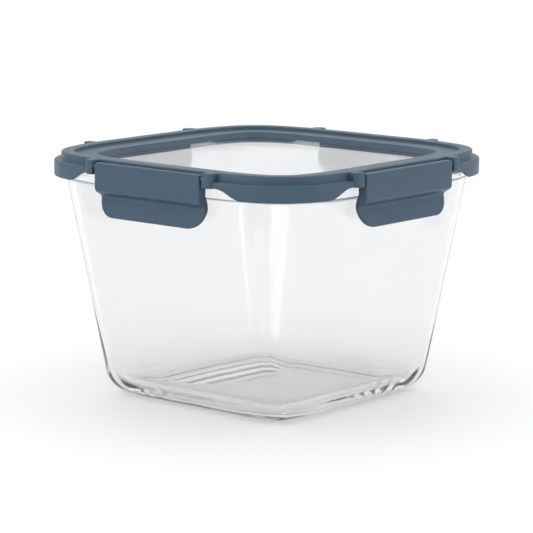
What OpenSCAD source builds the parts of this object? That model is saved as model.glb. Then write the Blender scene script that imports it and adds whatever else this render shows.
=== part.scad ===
// Square glass food storage container with a clip-on lid.
// +Z is up. The origin is the centre of the foot ring, on the surface the container stands on.
// The container's sides run along X and Y. Millimetres.

/* [Overall] */
// Height with the lid on
total_h = 122.5; // [120:0.5:126]
// Distance from the middle to the raised rim's outer wall, at the middle of a side
rim_half = 84; // [82:0.5:86]
// Radius of the long gentle bows beside the straight middle of each side
bow_r = 110; // [105:5:120]
// Corner radius at the rim's outer wall
corner_r = 30; // [30:0.5:32]

/* [Glass] */
// How far the wall leans in for each millimetre down
wall_taper = 0.192; // [0.185:0.001:0.195]
// Thickness of the wall
wall_t = 4.4; // [3.6:0.1:4.8]
// Thickness of the floor
floor_t = 6; // [5:0.5:7]
// Height over which the wall rounds into the base
base_round = 20; // [16:1:24]
// How far the lip bead stands out from the wall
bead_out = 1.6; // [1.4:0.1:1.7]

/* [Lid] */
// Width of the raised rim's flat top
rim_w = 6.5; // [6:0.5:8]
// Drop from the rim's top to the flat ledge inside it
ledge_drop = 1.7; // [1.5:0.1:2]
// Width of the flat ledge
ledge_w = 11; // [10:0.5:12]
// Depth of the window's top face below the rim's top
window_drop = 4.4; // [4.2:0.1:4.5]
// Thickness of the window
window_t = 2.2; // [2:0.1:2.4]
// How far the skirt stands out from the raised rim
skirt_out = 3.5; // [3.2:0.1:3.6]
// Thickness of the skirt
skirt_t = 1.8; // [1.6:0.1:2]
// Height of the skirt's lower edge at the corners
skirt_z = 110.5; // [110:0.1:112]

/* [Latches] */
// Distance from the middle to a latch's front face
latch_front_y = 88.8; // [88.5:0.1:89.5]
// Width of a latch
latch_w = 67; // [65:0.5:67.5]
// Height of the crease between the raised pad and the finger tab
crease_z = 105.8; // [105:0.1:106.4]
// Height of the finger tab's lower edge
tab_z = 95.2; // [94:0.1:96]
// How far the finger tab's lower edge flares out
tab_flare = 2.7; // [1:0.1:2.8]
// Radius of the finger tab's lower corners
tab_corner_r = 9.5; // [7:0.5:10]
// Radius of the trunnions at a latch's ends
trunnion_r = 1.15; // [1:0.05:1.2]

/* [Hidden] */

slate = [0.29, 0.37, 0.43];
silicone = [0.86, 0.88, 0.88];
glass_tint = [0.82, 0.9, 0.92, 0.35];
clear_tint = [0.88, 0.93, 0.94, 0.4];

// Outline: straight middle, bow, corner, bow, on every side. Each bow turns until its
// radius has a slope of 7 in 24, so that bows and corners meet in exact numbers.
bow_cos = 0.96;
bow_sin = 0.28;
bow_cx = rim_half - bow_r;
corner_c = bow_cx + (bow_r - corner_r) * bow_cos;
bow_cy = corner_c - (bow_r - corner_r) * bow_sin;
far = 250;
bow_plan = [[0, 0], [far * bow_cos, 0], [far * bow_cos, far * bow_sin]];
bow_plan_below = [[0, 0], [far * bow_cos, -far * bow_sin], [far * bow_cos, 0]];
corner_plan = [[0, 0], [far * bow_cos, far * bow_sin], [far, far], [far * bow_sin, far * bow_cos]];

// Glass, as offsets from the rim's outer wall
lip_top = total_h - 6;
lip_bottom = lip_top - 6.6;
wall_ref = -2.2;
foot_in = -29;
foot_out = -27;
recess = 0.8;
inner_edge = 0.2 - corner_r;
lip_round = 1.6;

// Lid
ledge_z = total_h - ledge_drop;
window_top = total_h - window_drop;
skirt_top = total_h - 3.8;
roof_z = skirt_top - skirt_t;
channel_out = -1.2;
channel_in = -7.6;
channel_top = lip_top + 3;
plug_t = 2;
plug_z = lip_top - 1.5;
rib_out = 0.7;
rim_round = 0.8;

// Latches and the ears that hold them
pivot_y = latch_front_y - 2;
pivot_z = total_h - 3;
head_r = 2.3;
latch_top = total_h - 1.1;
latch_back_y = rim_half - 0.1;
ear_gap = 1.3;
ear_w = 5.6;
ear_in = latch_w / 2 + ear_gap;
ear_out = ear_in + ear_w;
ear_back_y = rim_half - 1;
ear_bottom = total_h - 7.1;
bore_r = trunnion_r + 0.05;
bore_depth = 2.8;
cut_start = ear_out + 0.2;
cut_end = ear_out + 13.4;
tab_front_y = rim_half + 0.1;
tab_back_y = rim_half - 2.25;
catch_z = lip_bottom - 0.3;
catch_y = rim_half - 2.1;
catch_w = 62;

$fn = 96;

// Points on an arc, turning from a0 to a1 degrees
function arc(cx, cy, r, a0, a1, n = 6) =
    [for (i = [0:n]) let (a = a0 + (a1 - a0) * i / n) [cx + r * cos(a), cy + r * sin(a)]];

// Points on a curve that leaves p0 and reaches p2 heading along the lines through p1
function bend(p0, p1, p2, n = 10) =
    [for (i = [0:n]) let (t = i / n) (1 - t) * (1 - t) * p0 + 2 * t * (1 - t) * p1 + t * t * p2];

// Offset of the glass's outer wall at height z
function wall_off(z) = wall_ref - (lip_top - 5.5 - z) * wall_taper;

// Keeps the part of its child that lies over a plan shape
module over(plan) {
    intersection() {
        children();
        translate([0, 0, -1])
            linear_extrude(total_h + 2)
                polygon(plan);
    }
}

// Carries a section, drawn as (offset from the rim's outer wall, height), round the outline
module ring() {
    for (k = [0:3]) {
        rotate([0, 0, 90 * k]) {
            translate([rim_half, bow_cy, 0])
                rotate([90, 0, 0])
                    linear_extrude(2 * bow_cy)
                        children();
            translate([bow_cx, bow_cy, 0])
                over(bow_plan)
                    rotate_extrude()
                        translate([bow_r, 0])
                            children();
            translate([bow_cx, -bow_cy, 0])
                over(bow_plan_below)
                    rotate_extrude()
                        translate([bow_r, 0])
                            children();
            translate([corner_c, corner_c, 0])
                over(corner_plan)
                    rotate_extrude()
                        translate([corner_r, 0])
                            children();
        }
    }
}

// Flat plate whose edge is the outline moved out by off
module slab(off, z0, z1) {
    h = z1 - z0;
    for (k = [0:3]) {
        rotate([0, 0, 90 * k]) {
            translate([0, -bow_cy, z0])
                cube([rim_half + off, 2 * bow_cy, h]);
            translate([bow_cx, bow_cy, 0])
                over(bow_plan)
                    translate([0, 0, z0])
                        cylinder(h = h, r = bow_r + off);
            translate([bow_cx, -bow_cy, 0])
                over(bow_plan_below)
                    translate([0, 0, z0])
                        cylinder(h = h, r = bow_r + off);
            translate([corner_c, corner_c, 0])
                over(corner_plan)
                    translate([0, 0, z0])
                        cylinder(h = h, r = corner_r + off);
        }
    }
}

// Section of the glass wall, with its foot, base rounding, lip bead and inside rounding
module glass_section() {
    bead_off = wall_off(lip_bottom) + bead_out;
    inside_top = wall_off(lip_top) - wall_t;
    base_start = [wall_off(base_round), base_round];
    inside_start = [wall_off(base_round) - wall_t, base_round];
    polygon(concat(
        [[inner_edge, recess], [foot_in - 0.6, recess], [foot_in, 0]],
        bend([foot_out, 0], [wall_off(0), 0], base_start),
        [[wall_off(lip_bottom), lip_bottom], [bead_off - 0.5, lip_bottom + 0.2], [bead_off, lip_bottom + 0.9]],
        arc(bead_off - lip_round, lip_top - lip_round, lip_round, 0, 90),
        arc(inside_top + lip_round, lip_top - lip_round, lip_round, 90, 170),
        bend(inside_start, [wall_off(floor_t) - wall_t, floor_t], [inner_edge, floor_t])
    ));
}

module glass_body() {
    color(glass_tint) {
        ring() glass_section();
        slab(inner_edge + 0.1, recess, floor_t);
    }
}

// Section of the lid's frame: rim, ledge, window seat, plug wall and gasket channel
module frame_section() {
    ledge_in = -rim_w - ledge_w;
    plug_in = channel_in - plug_t;
    polygon(concat(
        [[0, roof_z]],
        arc(-rim_round, total_h - rim_round, rim_round, 0, 90),
        arc(-rim_w + rim_round, total_h - rim_round, rim_round, 90, 180),
        [[-rim_w, ledge_z], [ledge_in, ledge_z], [ledge_in - 2, window_top], [plug_in, window_top]],
        [[plug_in, window_top - window_t - 0.1], [plug_in - rib_out, window_top - window_t - 0.4]],
        [[plug_in - rib_out, plug_z + 0.3], [plug_in - rib_out + 0.3, plug_z], [channel_in - 0.5, plug_z]],
        [[channel_in, plug_z + 0.6], [channel_in, channel_top], [channel_out, channel_top]],
        [[channel_out, roof_z]]
    ));
}

// Section of the skirt and the narrow step above it
module skirt_section() {
    polygon(concat(
        [[-0.5, roof_z], [skirt_out - skirt_t, roof_z], [skirt_out - skirt_t, skirt_z], [skirt_out - 0.5, skirt_z]],
        arc(skirt_out - 0.5, skirt_z + 0.5, 0.5, -90, 0, 3),
        arc(skirt_out - 1, skirt_top - 1, 1, 0, 90),
        [[-0.5, skirt_top]]
    ));
}

// Room for a latch, and the curved cut that raises the skirt's edge beside it, on the side facing -Y
module skirt_cut() {
    deep = 12;
    low = skirt_z - 1;
    n = 12;
    ramp = [for (i = [0:n]) [cut_start + (cut_end - cut_start) * i / n,
                             skirt_z - 0.1 + (ear_bottom - skirt_z + 0.1) * (1 + cos(180 * i / n)) / 2]];
    translate([-ear_in, -rim_half - deep / 2, low])
        cube([2 * ear_in, deep, total_h - low]);
    for (s = [0, 1]) {
        mirror([s, 0, 0])
            translate([0, -rim_half + deep / 2, 0])
                rotate([90, 0, 0])
                    linear_extrude(deep)
                        polygon(concat([[0, low], [0, ear_bottom]], ramp, [[cut_end, low]]));
    }
}

// Plan of an ear, with its two front edges rounded
module ear_plan(back_y) {
    outer_r = 2.8;
    inner_r = 0.6;
    difference() {
        translate([ear_in, -latch_front_y])
            square([ear_w, latch_front_y - back_y]);
        translate([ear_out - outer_r, -latch_front_y])
            square(outer_r);
        translate([ear_in, -latch_front_y])
            square(inner_r);
    }
    translate([ear_out - outer_r, -latch_front_y + outer_r])
        circle(outer_r, $fn = 32);
    translate([ear_in + inner_r, -latch_front_y + inner_r])
        circle(inner_r, $fn = 32);
}

// The two ears on the side facing -Y
module ears() {
    for (s = [0, 1]) {
        mirror([s, 0, 0]) {
            translate([0, 0, ear_bottom])
                linear_extrude(total_h - ear_bottom)
                    ear_plan(rim_half + 0.2);
            translate([0, 0, roof_z])
                linear_extrude(total_h - roof_z)
                    ear_plan(ear_back_y);
        }
    }
}

// Blind bores for one latch's trunnions, on the side facing -Y
module trunnion_bores() {
    for (s = [0, 1]) {
        mirror([s, 0, 0])
            translate([ear_in - 0.1, -pivot_y, pivot_z])
                rotate([0, 90, 0])
                    cylinder(h = bore_depth + 0.1, r = bore_r);
    }
}

module lid_frame() {
    color(slate)
        difference() {
            union() {
                ring() frame_section();
                difference() {
                    ring() skirt_section();
                    for (k = [0:3])
                        rotate([0, 0, 90 * k]) skirt_cut();
                }
                for (k = [0:3])
                    rotate([0, 0, 90 * k]) ears();
            }
            for (k = [0:3])
                rotate([0, 0, 90 * k]) trunnion_bores();
        }
}

module lid_window() {
    color(clear_tint)
        slab(channel_in - plug_t - 0.2, window_top - window_t, window_top);
}

// Ring in the lid's channel, with a flat rib that rests on the glass's lip
module lid_gasket() {
    out = channel_out - 0.2;
    in = channel_in + 0.2;
    shoulder = lip_top + 0.9;
    color(silicone)
        ring()
            polygon([[out, channel_top], [in, channel_top], [in, shoulder], [-5.6, shoulder],
                     [-4.6, lip_top], [-2.6, lip_top], [-1.9, shoulder], [out, shoulder]]);
}

// Side section of a latch, as (distance from the middle, height)
module latch_section() {
    edge_r = 1;
    top_angle = 180 - asin((latch_top - pivot_z) / head_r);
    ramp_top = [latch_back_y, crease_z + 6.5];
    ramp_mid = [latch_back_y - 0.6, crease_z + 4.7];
    inner = [tab_back_y, crease_z - 0.8];
    toe = [tab_front_y + tab_flare, tab_z + 0.6];
    heel = [tab_back_y + tab_flare - 0.1, tab_z + 0.3];
    polygon(concat(
        bend(toe, [tab_front_y + tab_flare / 2, tab_z + 3.7], [tab_front_y, crease_z - 1.8]),
        arc(tab_front_y + 2.2, crease_z - 1.8, 2.2, 170, 125),
        arc(latch_front_y - 2.6, crease_z + 3.6, 2.6, -55, 0),
        arc(latch_front_y - edge_r, latch_top - edge_r, edge_r, 0, 90),
        arc(pivot_y, pivot_z, head_r, top_angle, 180),
        [[pivot_y - head_r, roof_z + 0.2], [latch_back_y, roof_z - 0.7], ramp_top],
        bend(ramp_mid, [tab_back_y + 0.1, crease_z + 1.8], inner),
        bend(inner, [tab_back_y + tab_flare / 2, tab_z + 3.2], heel),
        [[heel[0] + 0.6, tab_z], [toe[0] - 0.5, tab_z]]
    ));
}

// Side section of the catch that lies under the glass's lip bead
module catch_section() {
    root_y = latch_back_y + 0.4;
    polygon([[root_y, catch_z], [catch_y + 0.4, catch_z], [catch_y, catch_z - 0.4],
             [catch_y, crease_z + 0.4], [root_y, crease_z - 1.4]]);
}

// Front outline of a latch, rounded at the finger tab's lower corners
module latch_outline() {
    half = latch_w / 2;
    translate([-half, tab_z + tab_corner_r])
        square([latch_w, latch_top - tab_z - tab_corner_r]);
    translate([-half + tab_corner_r, tab_z])
        square([latch_w - 2 * tab_corner_r, 2 * tab_corner_r]);
    for (s = [-1, 1])
        translate([s * (half - tab_corner_r), tab_z + tab_corner_r])
            circle(tab_corner_r);
}

// Carries a side section across a width, centred on the latch's middle
module across(width) {
    translate([-width / 2, 0, 0])
        rotate([90, 0, 90])
            linear_extrude(width)
                mirror([1, 0])
                    children();
}

// The latch on the side facing -Y
module latch() {
    pockets = 3;
    pocket_pitch = 21;
    pocket_w = 18;
    pocket_deep = 2.5;
    pocket_z = crease_z + 6.9;
    color(slate)
        difference() {
            union() {
                intersection() {
                    across(latch_w) latch_section();
                    translate([0, -70, 0])
                        rotate([90, 0, 0])
                            linear_extrude(30)
                                latch_outline();
                }
                across(catch_w) catch_section();
                for (s = [-1, 1])
                    translate([s * (ear_in + bore_depth - 0.2), -pivot_y, pivot_z])
                        rotate([0, -s * 90, 0])
                            cylinder(h = 6, r = trunnion_r);
            }
            for (i = [0:pockets - 1])
                translate([(i - (pockets - 1) / 2) * pocket_pitch - pocket_w / 2,
                           -latch_back_y - pocket_deep, pocket_z])
                    cube([pocket_w, pocket_deep + 1, 3]);
        }
}

module latch_front() {
    latch();
}

module latch_right() {
    rotate([0, 0, 90]) latch();
}

module latch_back() {
    rotate([0, 0, 180]) latch();
}

module latch_left() {
    rotate([0, 0, 270]) latch();
}

glass_body();
lid_frame();
lid_window();
lid_gasket();
latch_front();
latch_right();
latch_back();
latch_left();
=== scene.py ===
"""Square glass food container with a slate-blue snap lid: finished meshes, materials, light and camera."""
import math

import bmesh
import bpy
from mathutils import Matrix, Vector


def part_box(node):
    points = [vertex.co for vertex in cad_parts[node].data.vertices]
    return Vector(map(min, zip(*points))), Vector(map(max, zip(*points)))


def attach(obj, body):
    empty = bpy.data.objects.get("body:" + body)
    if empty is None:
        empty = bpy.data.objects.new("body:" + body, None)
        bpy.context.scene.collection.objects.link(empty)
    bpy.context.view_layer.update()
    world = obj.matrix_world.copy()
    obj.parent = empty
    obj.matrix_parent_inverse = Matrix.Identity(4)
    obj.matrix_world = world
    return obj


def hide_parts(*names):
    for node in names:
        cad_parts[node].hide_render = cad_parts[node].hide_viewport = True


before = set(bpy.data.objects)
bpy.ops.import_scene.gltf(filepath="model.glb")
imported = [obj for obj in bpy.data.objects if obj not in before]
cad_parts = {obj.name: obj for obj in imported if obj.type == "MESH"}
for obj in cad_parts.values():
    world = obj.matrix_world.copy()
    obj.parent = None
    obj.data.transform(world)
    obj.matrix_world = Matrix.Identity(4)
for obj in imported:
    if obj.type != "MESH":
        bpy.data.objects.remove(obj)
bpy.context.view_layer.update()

MM = 0.001
SIDES = ("right", "back", "left", "front")  # a quarter turn apart, from +X

# ---- Sizes in millimetres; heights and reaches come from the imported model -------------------
TOTAL_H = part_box("lid_frame")[1].z / MM
LATCH_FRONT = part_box("latch_right")[1].x / MM
LIP_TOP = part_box("glass_body")[1].z / MM
RIM_HALF = 84.0
BOW_R = 110.0
CORNER_R = 30.0
BOW_TURN = math.atan2(7, 24)
BOW_CX = RIM_HALF - BOW_R
CORNER_C = BOW_CX + (BOW_R - CORNER_R) * math.cos(BOW_TURN)
BOW_CY = CORNER_C - (BOW_R - CORNER_R) * math.sin(BOW_TURN)
BLUNT = 3.5

WALL_T = 4.4
WALL_TAPER = 0.192
WALL_REF = (-2.2, LIP_TOP - 5.5)
FLOOR_T = 6.0
LIP_BOTTOM = LIP_TOP - 6.6
BEAD_OUT = 1.6
BASE_R = 15.5
INSIDE_R = 11.0
RECESS = 0.4

RIM_W = 6.5
LEDGE_W = 11.0
LEDGE_Z = TOTAL_H - 1.7
WINDOW_Z = TOTAL_H - 4.4
WINDOW_T = 2.2
SKIRT_OUT = 3.5
SKIRT_T = 1.8
SKIRT_TOP = TOTAL_H - 3.8
SKIRT_Z = TOTAL_H - 12.0
ROOF_Z = SKIRT_TOP - SKIRT_T
CHANNEL = (-1.2, -7.6)
CHANNEL_TOP = LIP_TOP + 3.0
PLUG_IN = -9.6
PLUG_Z = LIP_TOP - 1.5
RIB_OUT = 0.7

PAD_HALF = 33.5
PAD_TOP = TOTAL_H - 1.1
PIVOT = (LATCH_FRONT - 2.0, TOTAL_H - 3.0)
HEAD_R = 2.3
TRUNNION_R = 1.15
BORE_R = 1.2
LATCH_BACK = RIM_HALF - 0.1
CREASE_Z = TOTAL_H - 16.7
TAB_Z = TOTAL_H - 27.3
TAB_R = 9.5
TAB_FRONT = RIM_HALF + 0.1
TAB_BACK = RIM_HALF - 2.25
TAB_FLARE = 3.0
TAB_TOP = CREASE_Z + 6.9
CATCH_Z = LIP_BOTTOM - 0.3
CATCH_Y = RIM_HALF - 2.1
CATCH_HALF = 31.0
EAR_IN = PAD_HALF + 1.3
EAR_W = 5.6
EAR_OUT = EAR_IN + EAR_W
EAR_BOTTOM = TOTAL_H - 7.1
EAR_ROOT = RIM_HALF + 0.2
EAR_BACK = RIM_HALF - 1.0
RAMP = (EAR_OUT + 0.4, EAR_OUT + 14.2)


# ---- Curves ----------------------------------------------------------------------------------
def arc(cx, cy, r, start, end, steps=6):
    """Points on an arc from start to end degrees."""
    turns = [math.radians(start + (end - start) * i / steps) for i in range(steps + 1)]
    return [(cx + r * math.cos(t), cy + r * math.sin(t)) for t in turns]


def circle(cx, cy, r):
    """24 points of a whole circle."""
    return arc(cx, cy, r, 0, 360 - 15, 23)


def bend(p0, p1, p2, steps=10):
    """Points on a curve from p0 to p2. Its ends head along the lines to p1."""
    ts = [i / steps for i in range(steps + 1)]
    weights = [((1 - t) ** 2, 2 * t * (1 - t), t * t) for t in ts]
    return [tuple(u * a + v * b + w * c for a, b, c in zip(p0, p1, p2)) for u, v, w in weights]


def reach(profile, z):
    """Distance at height z on a profile of (distance, height) points that rises."""
    for (y0, z0), (y1, z1) in zip(profile, profile[1:]):
        if z <= z1:
            return y0 + (y1 - y0) * max(z - z0, 0.0) / (z1 - z0)
    return profile[-1][0]


def corner_drop(distance, radius):
    """How far a quarter-round corner has fallen away, distance past the start of its curve."""
    d = min(max(distance, 0.0), radius)
    return radius - math.sqrt(radius * radius - d * d)


STRAIGHT_STEPS = 6
BOW_STEPS = 20
CORNER_STEPS = 14


def spot(t, off, blunt):
    """Point on the +X side of the outline, moved out by off. t runs 0-1 over half the straight middle,
    1-2 over the bow and 2-3 over half the corner; negative t is the other half. blunt keeps deep
    insets from coming to a point."""
    corner_r = CORNER_R + off
    if blunt:
        corner_r = 0.5 * (corner_r + math.sqrt(corner_r * corner_r + 4 * blunt * blunt))
    span = BOW_R + off - corner_r
    turn = math.acos((BOW_CY - BOW_CX) / (math.sqrt(2) * span)) - math.pi / 4
    centre = BOW_CX + span * math.cos(turn)
    a = abs(t)
    if a <= 1:
        x, y = RIM_HALF + off, BOW_CY * a
    elif a <= 2:
        s = turn * (a - 1)
        x, y = BOW_CX + (BOW_R + off) * math.cos(s), BOW_CY + (BOW_R + off) * math.sin(s)
    else:
        s = turn + (math.pi / 4 - turn) * (a - 2)
        x, y = centre + corner_r * math.cos(s), centre + corner_r * math.sin(s)
    return x, math.copysign(y, t)


def half_side():
    """Values of t from the middle of a side to its corner."""
    straight = [i / STRAIGHT_STEPS for i in range(STRAIGHT_STEPS)]
    bow = [1 + i / BOW_STEPS for i in range(BOW_STEPS)]
    corner = [2 + i / CORNER_STEPS for i in range(CORNER_STEPS + 1)]
    return straight + bow + corner


def around():
    """(quarter turn, t) for every station of a whole loop."""
    up = half_side()
    side = [-t for t in reversed(up[1:-1])] + up
    return [(k, t) for k in range(4) for t in side]


def turned(x, y, k):
    """(x, y) after k quarter turns about +Z."""
    for _ in range(k):
        x, y = -y, x
    return x, y


def loop(off, z, blunt=0.0):
    """Closed loop of points at offset off and height z."""
    points = []
    for k, t in around():
        x, y = turned(*spot(t, off, blunt), k)
        points.append((x, y, z))
    return points


# ---- Meshes ----------------------------------------------------------------------------------
def mesh_object(name, loops, ring=False, capped=False, open_loops=False):
    """Skins a list of loops of points in millimetres. ring joins the last loop to the first, capped
    closes the two ends, and open_loops leaves each loop's ends apart."""
    bm = bmesh.new()
    rows = [[bm.verts.new(Vector(p) * MM) for p in points] for points in loops]
    pairs = list(zip(rows, rows[1:]))
    if ring:
        pairs.append((rows[-1], rows[0]))
    for low, high in pairs:
        n = len(low)
        for i in range(n - 1 if open_loops else n):
            j = (i + 1) % n
            bm.faces.new((low[i], low[j], high[j], high[i]))
    if capped:
        bm.faces.new(list(reversed(rows[0])))
        bm.faces.new(rows[-1])
    bmesh.ops.remove_doubles(bm, verts=bm.verts, dist=MM * 1e-4)
    bmesh.ops.recalc_face_normals(bm, faces=bm.faces)
    mesh = bpy.data.meshes.new(name)
    bm.to_mesh(mesh)
    bm.free()
    piece = bpy.data.objects.new(name, mesh)
    bpy.context.scene.collection.objects.link(piece)
    return piece


def swept(name, section, blunt=0.0):
    """Closed ring that carries a section of (offset, height) points round the outline."""
    return mesh_object(name, [loop(off, z, blunt) for off, z in section], ring=True)


def smooth(piece, degrees=35):
    """Smooth shading that keeps edges sharper than degrees."""
    mesh = piece.data
    mesh.polygons.foreach_set("use_smooth", [True] * len(mesh.polygons))
    mesh.set_sharp_from_angle(angle=math.radians(degrees))
    mesh.update()
    return piece


def baked(piece):
    """Applies a piece's modifiers to its mesh."""
    bpy.context.view_layer.update()
    graph = bpy.context.evaluated_depsgraph_get()
    mesh = bpy.data.meshes.new_from_object(piece.evaluated_get(graph))
    piece.modifiers.clear()
    piece.data = mesh
    return piece


def combined(base, others, operation="UNION"):
    """base joined with, or cut by, the other closed pieces, as one skin."""
    for other in others:
        cut = base.modifiers.new("join", "BOOLEAN")
        cut.operation = operation
        cut.solver = "EXACT"
        cut.object = other
        baked(base)
        bpy.data.objects.remove(other)
    return base


# ---- Glass body ------------------------------------------------------------------------------
def wall_off(z):
    """Offset of the glass's outer wall at height z."""
    return WALL_REF[0] - (WALL_REF[1] - z) * WALL_TAPER


def glass_body():
    """Pressed glass: foot, base rounding, leaning wall, lip bead, inside rounding and floor."""
    lean = math.degrees(math.atan(WALL_TAPER))
    gather = WALL_TAPER - math.hypot(1, WALL_TAPER)
    base_c = wall_off(0) + BASE_R * gather
    inside_c = wall_off(FLOOR_T) - WALL_T + INSIDE_R * gather
    bead = wall_off(LIP_BOTTOM) + BEAD_OUT
    lip_r, rise_r = 1.6, 2.6
    inside_top = wall_off(LIP_TOP) - WALL_T
    outer = [(base_c - 3.4, RECESS), (base_c - 2.6, RECESS * 0.7), (base_c - 1.8, 0.1), (base_c - 1.2, 0.0)]
    outer += arc(base_c, BASE_R, BASE_R, -90, -lean, 22)
    outer += [(wall_off(z), z) for z in (40, 65, 90, LIP_BOTTOM - 1.2)]
    outer += arc(wall_off(LIP_BOTTOM) + 0.9, LIP_BOTTOM - 1.0, 0.9, 180, 110, 4)
    outer += arc(bead - 0.9, LIP_BOTTOM + 0.9, 0.9, -70, 0, 5)
    lip = arc(bead - rise_r, LIP_TOP - rise_r, rise_r, 0, 90, 10)
    lip += arc(inside_top + lip_r, LIP_TOP - lip_r, lip_r, 90, 170, 8)
    inner = [(wall_off(z) - WALL_T, z) for z in (100, 80, 55, 35)]
    inner += arc(inside_c, FLOOR_T + INSIDE_R, INSIDE_R, -lean, -90, 18)
    section = outer + lip + inner + [(inside_c - 2, FLOOR_T)]
    return smooth(mesh_object("glass_jar", [loop(off, z, BLUNT) for off, z in section], capped=True))


# ---- Lid -------------------------------------------------------------------------------------
def frame_ring():
    """The lid frame's own section: rim, ledge, window seat, plug wall and gasket channel."""
    ledge_in = -RIM_W - LEDGE_W
    seat = WINDOW_Z - WINDOW_T
    rim_r = 0.9
    section = [(0.0, ROOF_Z + 0.3)]
    section += arc(-rim_r, TOTAL_H - rim_r, rim_r, 0, 90)
    section += arc(-RIM_W + 0.8, TOTAL_H - 0.8, 0.8, 90, 180)
    section += arc(-RIM_W - 0.6, LEDGE_Z + 0.6, 0.6, 0, -90, 4)
    section += arc(ledge_in + 0.3, LEDGE_Z - 0.9, 0.9, 90, 132, 4)
    section += arc(ledge_in - 2.2, WINDOW_Z + 0.9, 0.9, -48, -80, 3)
    section += [(ledge_in - 2.6, WINDOW_Z), (PLUG_IN, WINDOW_Z), (PLUG_IN, seat - 0.1)]
    section += [(PLUG_IN - RIB_OUT, seat - 0.4), (PLUG_IN - RIB_OUT, PLUG_Z + 0.3)]
    section += [(PLUG_IN - RIB_OUT + 0.3, PLUG_Z), (CHANNEL[1] - 0.5, PLUG_Z), (CHANNEL[1], PLUG_Z + 0.6)]
    section += [(CHANNEL[1], CHANNEL_TOP), (CHANNEL[0], CHANNEL_TOP), (CHANNEL[0], ROOF_Z), (-0.3, ROOF_Z)]
    return swept("lid_ring", section)


def skirt_edge(x, y):
    """Height of the skirt's lower edge: low round the corner, ramping up beside a latch."""
    along = min(abs(x), abs(y))
    share = min(max((along - RAMP[0]) / (RAMP[1] - RAMP[0]), 0.0), 1.0)
    return SKIRT_Z + (EAR_BOTTOM + 0.15 - SKIRT_Z) * (1 + math.cos(math.pi * share)) / 2


def t_at(along):
    """t of the point of the rim's outer wall that is along from the middle of the side, in the bow."""
    return 1 + math.asin((along - BOW_CY) / BOW_R) / BOW_TURN


def corner_skirt(k):
    """The skirt and its step round one corner, from ear to ear."""
    start = t_at(EAR_IN + EAR_W / 2)
    fine = 40
    rise = [start + (3 - start) * i / fine for i in range(fine + 1)]
    stations = [(k, t) for t in rise] + [(k + 1, -t) for t in reversed(rise[:-1])]
    loops = []
    for quarter, t in stations:
        x0, y0 = spot(t, 0.0, 0.0)
        edge = skirt_edge(x0, y0)
        section = [(-0.5, ROOF_Z), (SKIRT_OUT - SKIRT_T - 0.4, ROOF_Z), (SKIRT_OUT - SKIRT_T, ROOF_Z - 0.4)]
        section += arc(SKIRT_OUT - SKIRT_T + 0.5, edge + 0.5, 0.5, 180, 270, 4)
        section += arc(SKIRT_OUT - 0.7, edge + 0.7, 0.7, -90, 0, 5)
        section += arc(SKIRT_OUT - 1.1, SKIRT_TOP - 1.1, 1.1, 0, 90, 7)
        section += arc(0.5, SKIRT_TOP + 0.5, 0.5, -90, -180, 4)
        section += [(-0.5, SKIRT_TOP + 0.5)]
        points = []
        for off, z in section:
            x, y = turned(*spot(t, off, 0.0), quarter % 4)
            points.append((x, y, z))
        loops.append(points)
    return mesh_object("skirt", loops, capped=True)


def ear_loop(back, inset, z):
    """Plan outline of an ear on the +X side, pulled in by inset, at height z."""
    front = LATCH_FRONT - inset
    low, high = EAR_IN + inset, EAR_OUT - inset
    inner_r, outer_r = max(0.7 - inset, 0.15), 2.9 - inset
    points = [(back, low), (EAR_ROOT, low)]
    points += arc(front - inner_r, low + inner_r, inner_r, -90, 0, 4)
    points += arc(front - outer_r, high - outer_r, outer_r, 0, 90, 8)
    points += [(EAR_ROOT, high), (back, high)]
    return [(x, y, z) for x, y in points]


def ear(k, side):
    """One latch ear with rounded edges, just short of the rim's top. side is 1 or -1. Its back steps
    inward above the skirt's roof, so that it joins the rim but stays out of the gasket channel."""
    edge, step_z, top = 0.6, ROOF_Z + 0.1, TOTAL_H - 0.02
    turns = [math.radians(90 * i / 4) for i in range(5)]
    rounding = [(edge * (1 - math.sin(a)), edge * (1 - math.cos(a))) for a in turns]
    levels = [(EAR_ROOT, inset, EAR_BOTTOM + lift) for inset, lift in rounding]
    levels += [(EAR_ROOT, 0.0, step_z), (EAR_BACK, 0.0, step_z)]
    levels += [(EAR_BACK, inset, top - lift) for inset, lift in reversed(rounding)]
    rings = [[(*turned(x, side * y, k), z) for x, y, z in ear_loop(*level)] for level in levels]
    return mesh_object("ear", rings, capped=True)


def bore(k, side):
    """Cutter for the blind hole that takes a latch's trunnion."""
    hole = circle(PIVOT[0], PIVOT[1], BORE_R)
    rings = []
    for y in (EAR_IN - 1.0, EAR_IN + 2.8):
        rings.append([(*turned(x, side * y, k), z) for x, z in hole])
    return mesh_object("bore", rings, capped=True)


def lid_frame():
    """Whole lid frame as one skin: ring, corner skirts and ears, with the trunnions' bores."""
    both = [(k, side) for k in range(4) for side in (1, -1)]
    parts = [corner_skirt(k) for k in range(4)] + [ear(k, side) for k, side in both]
    body = combined(frame_ring(), parts)
    body = combined(body, [bore(k, side) for k, side in both], "DIFFERENCE")
    body.name = "lid_shell"
    return smooth(body)


def lid_window():
    """Clear panel with slightly rounded edges."""
    edge = PLUG_IN - 0.2
    low, high = WINDOW_Z - WINDOW_T, WINDOW_Z
    inner = -40.0
    section = [(inner, low), (edge - 0.4, low), (edge, low + 0.4)]
    section += [(edge, high - 0.3), (edge - 0.3, high), (inner, high)]
    return smooth(mesh_object("lid_pane", [loop(off, z, BLUNT) for off, z in section], capped=True))


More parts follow.
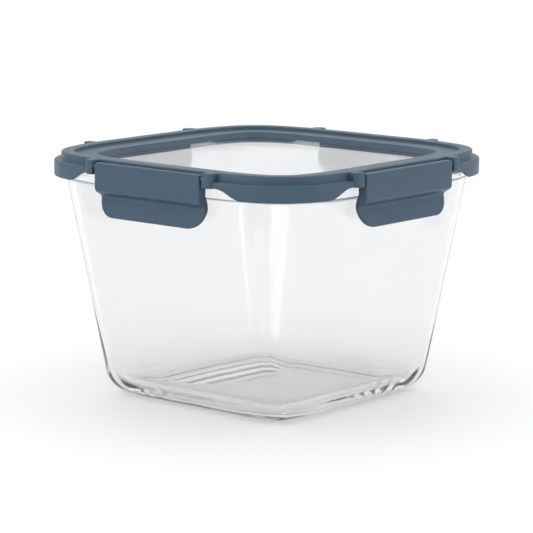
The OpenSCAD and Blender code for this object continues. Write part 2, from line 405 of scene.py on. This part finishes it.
def lid_gasket():
    """Seal that fills the channel, with a flat rib on the glass's lip."""
    out, inside = CHANNEL[0] - 0.2, CHANNEL[1] + 0.2
    shoulder = LIP_TOP + 0.9
    section = [(out, CHANNEL_TOP), (inside, CHANNEL_TOP), (inside, shoulder + 0.3), (inside + 0.3, shoulder)]
    section += [(-5.6, shoulder), (-4.9, LIP_TOP + 0.15), (-4.5, LIP_TOP)]
    section += [(-2.7, LIP_TOP), (-2.3, LIP_TOP + 0.15), (-1.9, shoulder)]
    section += [(out - 0.3, shoulder), (out, shoulder + 0.3)]
    return smooth(swept("seal", section))


# ---- Latches ---------------------------------------------------------------------------------
def pad_loft():
    """Pad with its rounded lower edge and crease, and pockets in its back, as sections across its width."""
    edge_r, under_r, crease_r = 0.9, 2.6, 2.2
    head = 180 - math.degrees(math.asin((PAD_TOP - PIVOT[1]) / HEAD_R))
    pocket, pocket_low, pocket_high = 2.5, TAB_TOP + 0.2, TAB_TOP + 3.1
    stations = [(PAD_HALF - edge_r * (1 - math.sin(math.radians(a))), False) for a in range(0, 91, 15)]
    ribs = [(9.0, True), (9.0, False), (12.0, False), (12.0, True), (30.0, True), (30.0, False)]
    half = [(0.0, True)] + ribs + stations
    whole = [(-x, hollow) for x, hollow in reversed(half[1:])] + half
    loops = []
    for x, hollow in whole:
        fall = corner_drop(abs(x) - (PAD_HALF - edge_r), edge_r)
        front = LATCH_FRONT - fall
        top = PAD_TOP - 0.5 * fall
        deep = LATCH_BACK + pocket if hollow else LATCH_BACK
        section = arc(TAB_FRONT + crease_r - fall, CREASE_Z - 1.8, crease_r, 165, 125, 5)
        section += arc(front - under_r, CREASE_Z + 3.6, under_r, -55, 0, 7)
        section += arc(front - edge_r, top - edge_r, edge_r, 0, 90, 6)
        section += arc(PIVOT[0], PIVOT[1], HEAD_R, head, 180, 6)
        section += [(PIVOT[0] - HEAD_R, ROOF_Z + 0.2), (LATCH_BACK, ROOF_Z - 0.7)]
        section += [(LATCH_BACK, pocket_high), (deep, pocket_high)]
        section += [(deep, pocket_low), (LATCH_BACK, pocket_low)]
        section += [(LATCH_BACK, TAB_TOP - 0.5), (LATCH_BACK + 0.7, TAB_TOP - 1.0)]
        section += [(LATCH_BACK - 0.6, CREASE_Z), (LATCH_BACK - 1.0, CREASE_Z - 1.5)]
        loops.append([(x, -y, z) for y, z in section])
    return mesh_object("pad", loops, capped=True)


def tab_profiles():
    """Front and back of the finger tab and of the plate that carries it, rising from the tab's lower edge."""
    half_flare = TAB_FLARE / 2
    front_edge, front_mid = (TAB_FRONT + TAB_FLARE, TAB_Z), (TAB_FRONT + half_flare, TAB_Z + 3.7)
    back_edge, back_mid = (TAB_BACK + TAB_FLARE - 0.1, TAB_Z), (TAB_BACK + half_flare, TAB_Z + 3.2)
    front = bend(front_edge, front_mid, (TAB_FRONT, CREASE_Z - 1.8))
    front += [(TAB_FRONT, CREASE_Z - 1.2), (TAB_FRONT + 2.2, CREASE_Z + 2.6), (TAB_FRONT + 2.2, TAB_TOP)]
    back = bend(back_edge, back_mid, (TAB_BACK, CREASE_Z - 0.8))
    back += bend(back.pop(), (TAB_BACK + 0.1, CREASE_Z + 1.8), (LATCH_BACK - 0.6, CREASE_Z + 4.7))
    back += [(LATCH_BACK, CREASE_Z + 6.5), (LATCH_BACK + 0.25, TAB_TOP)]
    return front, back


def tab_outline(inset):
    """Right half of the tab's front outline pulled in by inset, rising from its lower edge."""
    half, r = PAD_HALF - 0.1 - inset, TAB_R - inset
    rise = [CREASE_Z - 1 + (TAB_TOP - CREASE_Z + 1) * i / 14 for i in range(1, 15)]
    return arc(half - r, TAB_Z + inset + r, r, -90, 0, 20) + [(half, z) for z in rise]


def tab_plate():
    """Flared finger tab with rounded corners and edges, and the plate behind the pad, as one skin."""
    front, back = tab_profiles()
    loops = []
    for i in range(5):
        a = math.radians(90 * i / 4)
        inset, fall = 0.5 * (1 - math.sin(a)), 0.5 * (1 - math.cos(a))
        loops.append([(x, -reach(back, z) - fall, z) for x, z in tab_outline(inset)])
    for i in range(7):
        a = math.radians(90 * i / 6)
        inset, fall = 0.9 * (1 - math.cos(a)), 0.9 * (1 - math.sin(a))
        loops.append([(x, -reach(front, z) + fall, z) for x, z in tab_outline(inset)])
    loops = [points + [(-x, y, z) for x, y, z in reversed(points)] for points in loops]
    plate = mesh_object("tab", loops)
    bm = bmesh.new()
    bm.from_mesh(plate.data)
    n = len(loops[0])
    bm.verts.ensure_lookup_table()
    for first in (0, n * (len(loops) - 1)):
        v = bm.verts[first:first + n]
        for i in range(n // 2 - 1):
            bm.faces.new((v[i], v[i + 1], v[n - 2 - i], v[n - 1 - i]))
    bmesh.ops.recalc_face_normals(bm, faces=bm.faces)
    bm.to_mesh(plate.data)
    bm.free()
    return plate


def catch_bar():
    """Catch that lies under the glass's lip bead."""
    root = LATCH_BACK + 0.3
    section = [(root, CATCH_Z), (CATCH_Y + 0.3, CATCH_Z), (CATCH_Y + 0.1, CATCH_Z - 0.1)]
    section += [(CATCH_Y, CATCH_Z - 0.3), (CATCH_Y, CREASE_Z + 0.4), (root, CREASE_Z - 1.2)]
    ends = (-CATCH_HALF, CATCH_HALF)
    return mesh_object("catch", [[(x, -y, z) for y, z in section] for x in ends], capped=True)


def trunnion(side):
    """Stub that turns in an ear's bore, with a chamfered end."""
    r = TRUNNION_R
    rings = []
    for x, radius in ((PAD_HALF - 1.5, r), (EAR_IN + 2.3, r), (EAR_IN + 2.6, r - 0.3)):
        rings.append([(side * x, -y, z) for y, z in circle(PIVOT[0], PIVOT[1], radius)])
    return mesh_object("trunnion", rings, capped=True)


def latches():
    """Four copies of one moulding, each turned to its own side."""
    first = combined(pad_loft(), [tab_plate(), catch_bar(), trunnion(1), trunnion(-1)])
    smooth(first)
    made = {}
    for k, side in enumerate(SIDES):
        mesh = first.data.copy()
        mesh.transform(Matrix.Rotation(math.radians(90 * (k + 1)), 4, "Z"))
        piece = bpy.data.objects.new("clip_" + side, mesh)
        bpy.context.scene.collection.objects.link(piece)
        made[side] = piece
    bpy.data.objects.remove(first)
    return made


# ---- Materials -------------------------------------------------------------------------------
SLATE = (0.032, 0.071, 0.111)
CLEAR_TINT = (0.93, 0.935, 0.94)


class Shader:
    """A node material with a Principled shader and helpers for procedural detail."""

    def __init__(self, name):
        self.material = bpy.data.materials.new(name)
        self.material.use_nodes = True
        self.tree = self.material.node_tree
        self.main = self.tree.nodes["Principled BSDF"]
        self.output = self.tree.nodes["Material Output"]
        self.place = self.tree.nodes.new("ShaderNodeTexCoord").outputs["Object"]

    def set(self, **values):
        """Plain values for the Principled shader's inputs, with _ for a space in a name."""
        for name, value in values.items():
            self.main.inputs[name.replace("_", " ")].default_value = value

    def noise(self, scale, detail=3.0):
        """Noise that is fixed to the object."""
        node = self.tree.nodes.new("ShaderNodeTexNoise")
        node.inputs["Scale"].default_value = scale
        node.inputs["Detail"].default_value = detail
        self.tree.links.new(self.place, node.inputs["Vector"])
        return node.outputs["Fac"]

    def spread(self, value, low, high, start=0.3, end=0.7):
        """value, which mostly lies from start to end, as a number from low to high."""
        node = self.tree.nodes.new("ShaderNodeMapRange")
        node.inputs["From Min"].default_value = start
        node.inputs["From Max"].default_value = end
        node.inputs["To Min"].default_value = low
        node.inputs["To Max"].default_value = high
        self.tree.links.new(value, node.inputs["Value"])
        return node.outputs["Result"]

    def blend(self, value, first, second):
        """Colour that goes from first to second as value goes from 0 to 1."""
        node = self.tree.nodes.new("ShaderNodeMix")
        node.data_type = "RGBA"
        node.inputs["A"].default_value = (*first, 1)
        node.inputs["B"].default_value = (*second, 1)
        self.tree.links.new(value, node.inputs["Factor"])
        return node.outputs["Result"]

    def drive(self, name, value):
        """Links value to one of the Principled shader's inputs."""
        self.tree.links.new(value, self.main.inputs[name])

    def bump(self, height, distance, strength, under=None):
        """Surface normal for a height, added to the normal under it."""
        node = self.tree.nodes.new("ShaderNodeBump")
        node.inputs["Distance"].default_value = distance
        node.inputs["Strength"].default_value = strength
        self.tree.links.new(height, node.inputs["Height"])
        if under is not None:
            self.tree.links.new(under, node.inputs["Normal"])
        return node.outputs["Normal"]

    def lets_lamps_through(self, tint):
        """Lamps reach what is behind clear material."""
        clear = self.tree.nodes.new("ShaderNodeBsdfTransparent")
        clear.inputs["Color"].default_value = (*tint, 1)
        path = self.tree.nodes.new("ShaderNodeLightPath")
        mix = self.tree.nodes.new("ShaderNodeMixShader")
        self.tree.links.new(path.outputs["Is Shadow Ray"], mix.inputs["Fac"])
        self.tree.links.new(self.main.outputs["BSDF"], mix.inputs[1])
        self.tree.links.new(clear.outputs["BSDF"], mix.inputs[2])
        self.tree.links.new(mix.outputs["Shader"], self.output.inputs["Surface"])


def slate_plastic(name, colour, rough):
    """Injection-moulded polypropylene: satin, with a fine grain and faint flow variation."""
    s = Shader(name)
    darker = tuple(c * 0.94 for c in colour)
    lighter = tuple(min(c * 1.05, 1) for c in colour)
    s.drive("Base Color", s.blend(s.spread(s.noise(38.0, 3), 0, 1), darker, lighter))
    s.drive("Roughness", s.spread(s.noise(160.0, 4), rough - 0.035, rough + 0.045))
    flow = s.bump(s.noise(55.0, 2), 0.00012, 0.25)
    s.drive("Normal", s.bump(s.noise(2600.0, 2), 0.00001, 0.35, flow))
    s.set(IOR=1.49)
    return s.material


def clear_glass():
    """Pressed glass: clear, with the faint ripple that a mould leaves."""
    s = Shader("pressed_glass")
    s.set(Transmission_Weight=1.0, IOR=1.48, Roughness=0.04)
    drift = s.spread(s.noise(9.0, 2), 0, 1)
    s.drive("Base Color", s.blend(drift, (0.913, 0.915, 0.916), (0.926, 0.928, 0.929)))
    s.drive("Normal", s.bump(s.noise(22.0, 2), 0.00045, 0.04))
    s.lets_lamps_through(CLEAR_TINT)
    return s.material


def clear_plastic():
    """Glossy clear window with a trace of moulding haze."""
    s = Shader("clear_window")
    s.set(Transmission_Weight=1.0, IOR=1.46)
    drift = s.spread(s.noise(12.0, 2), 0, 1)
    s.drive("Base Color", s.blend(drift, (0.965, 0.97, 0.972), (0.98, 0.983, 0.984)))
    s.drive("Roughness", s.spread(s.noise(60.0, 4), 0.01, 0.05))
    s.drive("Normal", s.bump(s.noise(18.0, 2), 0.0003, 0.12))
    s.lets_lamps_through(CLEAR_TINT)
    return s.material


def silicone():
    """Milky seal with a soft, faintly mottled surface."""
    s = Shader("silicone")
    mottle = s.spread(s.noise(120.0, 3), 0, 1)
    s.drive("Base Color", s.blend(mottle, (0.70, 0.73, 0.74), (0.80, 0.82, 0.83)))
    s.drive("Roughness", s.spread(s.noise(300.0, 3), 0.42, 0.58))
    s.drive("Normal", s.bump(s.noise(900.0, 2), 0.00002, 0.3))
    s.set(Subsurface_Weight=0.25, Subsurface_Scale=0.002, IOR=1.41)
    return s.material


# ---- Stage -----------------------------------------------------------------------------------
def camera():
    """Long lens, a little above the lid's level, with a corner toward it, as in the photo."""
    turn, lift, roll = math.radians(40.29), math.radians(9.84), math.radians(0.2)
    distance, look_z, aside = 1.284, 0.0634, -0.0004
    back = Vector((math.sin(turn) * math.cos(lift), -math.cos(turn) * math.cos(lift), math.sin(lift)))
    right = Vector((math.cos(turn), math.sin(turn), 0))
    data = bpy.data.cameras.new("camera")
    data.lens = 174.0
    data.sensor_width = 36.0
    data.clip_start = 0.05
    data.clip_end = 60
    cam = bpy.data.objects.new("camera", data)
    up = back.cross(right)
    axes = Matrix((right, up, back)).transposed().to_4x4()
    place = Matrix.Translation(back * distance + Vector((0, 0, look_z)) + right * aside)
    cam.matrix_world = place @ axes @ Matrix.Rotation(roll, 4, "Z")
    bpy.context.scene.collection.objects.link(cam)
    bpy.context.scene.camera = cam


def floor():
    """Plain pale floor that reaches far past the view."""
    half = 30.0
    corners = [(-half, -half, 0), (half, -half, 0), (half, half, 0), (-half, half, 0)]
    mesh = bpy.data.meshes.new("floor")
    mesh.from_pydata(corners, [], [(0, 1, 2, 3)])
    stage = bpy.data.objects.new("floor", mesh)
    bpy.context.scene.collection.objects.link(stage)
    s = Shader("floor")
    s.drive("Base Color", s.blend(s.noise(0.6, 2), (0.93, 0.93, 0.93), (0.95, 0.95, 0.95)))
    s.set(Roughness=0.6, Specular_IOR_Level=0.1)
    mesh.materials.append(s.material)


def panel(name, place, target, width, height, power):
    """Soft rectangular lamp that faces target."""
    data = bpy.data.lights.new(name, "AREA")
    data.shape = "RECTANGLE"
    data.size = width
    data.size_y = height
    data.energy = power
    lamp = bpy.data.objects.new(name, data)
    lamp.location = place
    lamp.rotation_euler = (Vector(target) - Vector(place)).to_track_quat("-Z", "Y").to_euler()
    bpy.context.scene.collection.objects.link(lamp)


def sky():
    """Bright overhead and dimmer toward the horizon, as under a large softbox."""
    world = bpy.data.worlds.new("studio")
    world.use_nodes = True
    tree = world.node_tree
    ground = tree.nodes["Background"]
    ground.inputs["Color"].default_value = (0.985, 0.99, 1.0, 1)
    place = tree.nodes.new("ShaderNodeTexCoord")
    split = tree.nodes.new("ShaderNodeSeparateXYZ")
    rise = tree.nodes.new("ShaderNodeMapRange")
    rise.inputs["From Min"].default_value = 0.0
    rise.inputs["From Max"].default_value = 1.0
    rise.inputs["To Min"].default_value = 0.84
    rise.inputs["To Max"].default_value = 1.28
    tree.links.new(place.outputs["Generated"], split.inputs["Vector"])
    tree.links.new(split.outputs["Z"], rise.inputs["Value"])
    tree.links.new(rise.outputs["Result"], ground.inputs["Strength"])
    bpy.context.scene.world = world


def light_paths():
    """Enough bounces for light to find its way out of the thick glass base."""
    paths = bpy.context.scene.cycles
    paths.max_bounces = 24
    paths.transmission_bounces = 24
    paths.glossy_bounces = 14
    paths.transparent_max_bounces = 24


def light():
    """Bright sky and two tall strips that draw the highlights beside the near corner."""
    middle = (0, 0, 0.08)
    sky()
    light_paths()
    panel("left_strip", (-0.55, -1.72, 0.5), middle, 0.42, 0.9, 3.6)
    panel("right_strip", (1.73, 0.5, 0.5), middle, 0.2, 0.9, 2.4)
    bpy.context.scene.view_settings.view_transform = "Standard"


# ---- Assembly --------------------------------------------------------------------------------
def place(piece, body, node, slot, material):
    """Gives a finished piece its material and body, and hides its CAD node. slot is not used."""
    piece.data.materials.clear()
    piece.data.materials.append(material)
    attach(piece, body)
    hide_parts(node)


camera()
floor()
light()

place(glass_body(), "container", "glass_body", "glass", clear_glass())
place(lid_frame(), "lid", "lid_frame", "lid_plastic", slate_plastic("frame_plastic", SLATE, 0.42))
place(lid_window(), "lid", "lid_window", "window_plastic", clear_plastic())
place(lid_gasket(), "lid", "lid_gasket", "silicone", silicone())
clip_plastic = slate_plastic("clip_plastic", SLATE, 0.4)
for side, clip in latches().items():
    place(clip, "latch_" + side, "latch_" + side, "latch_plastic", clip_plastic)
